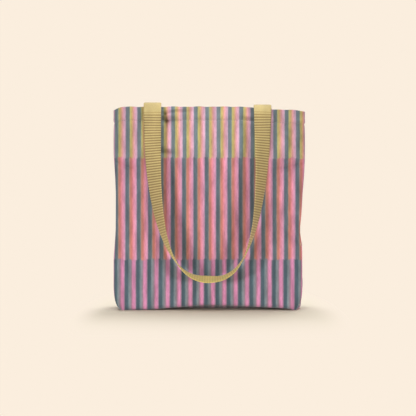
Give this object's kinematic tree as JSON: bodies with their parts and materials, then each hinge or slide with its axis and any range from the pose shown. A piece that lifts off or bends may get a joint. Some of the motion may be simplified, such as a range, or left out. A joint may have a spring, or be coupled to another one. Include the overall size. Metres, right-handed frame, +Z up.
{
  "type": "canvas tote bag",
  "caption": "Boxy open-topped canvas tote bag with vertical stripes, side gussets, a flat base and two long webbing handles that hang outside from the rim.",
  "frame": {"origin": "middle of the base's underside, on the surface that the bag stands on", "axes": "+Z up towards the open rim, the front faces -Y, the width runs along X"},
  "size_m": [0.3308, 0.1736, 0.3576],
  "materials": {
    "striped_canvas": "matte",
    "seam_tape": "matte",
    "cotton_webbing": "matte",
    "thread": "matte"
  },
  "bodies": {
    "root": {"front_panel": "striped_canvas", "left_gusset": "striped_canvas", "right_gusset": "striped_canvas", "base_panel": "striped_canvas", "front_hem_facing": "striped_canvas", "left_hem_facing": "striped_canvas", "right_hem_facing": "striped_canvas", "front_left_binding": "seam_tape", "front_right_binding": "seam_tape", "base_front_binding": "seam_tape", "base_left_binding": "seam_tape", "base_right_binding": "seam_tape", "front_left_strap_end": "cotton_webbing", "front_right_strap_end": "cotton_webbing", "front_left_tack": "thread", "front_right_tack": "thread", "front_hem_stitches": "thread", "left_hem_stitches": "thread", "right_hem_stitches": "thread"},
    "back": {"back_panel": "striped_canvas", "back_hem_facing": "striped_canvas", "back_left_binding": "seam_tape", "back_right_binding": "seam_tape", "base_back_binding": "seam_tape", "back_left_strap_end": "cotton_webbing", "back_right_strap_end": "cotton_webbing", "back_left_tack": "thread", "back_right_tack": "thread", "back_hem_stitches": "thread"},
    "front_handle": {"front_handle_loop": "cotton_webbing"},
    "back_handle": {"back_handle_loop": "cotton_webbing"}
  },
  "joints": [
    {"name": "fold_flat", "type": "slide", "parent": "root", "child": "back", "axis": [0, -1, 0], "range_m": [0, 0.084], "deforming": ["left_gusset", "right_gusset", "base_panel", "left_hem_facing", "right_hem_facing", "left_hem_stitches", "right_hem_stitches", "base_left_binding", "base_right_binding"]},
    {"name": "front_handle_swing", "type": "hinge", "parent": "root", "child": "front_handle", "pos_m": [0, -0.0542, 0.354], "axis": [-1, 0, 0], "range_deg": [0, 172]},
    {"name": "back_handle_swing", "type": "hinge", "parent": "back", "child": "back_handle", "pos_m": [0, 0.0542, 0.354], "axis": [1, 0, 0], "range_deg": [0, 172]}
  ]
}
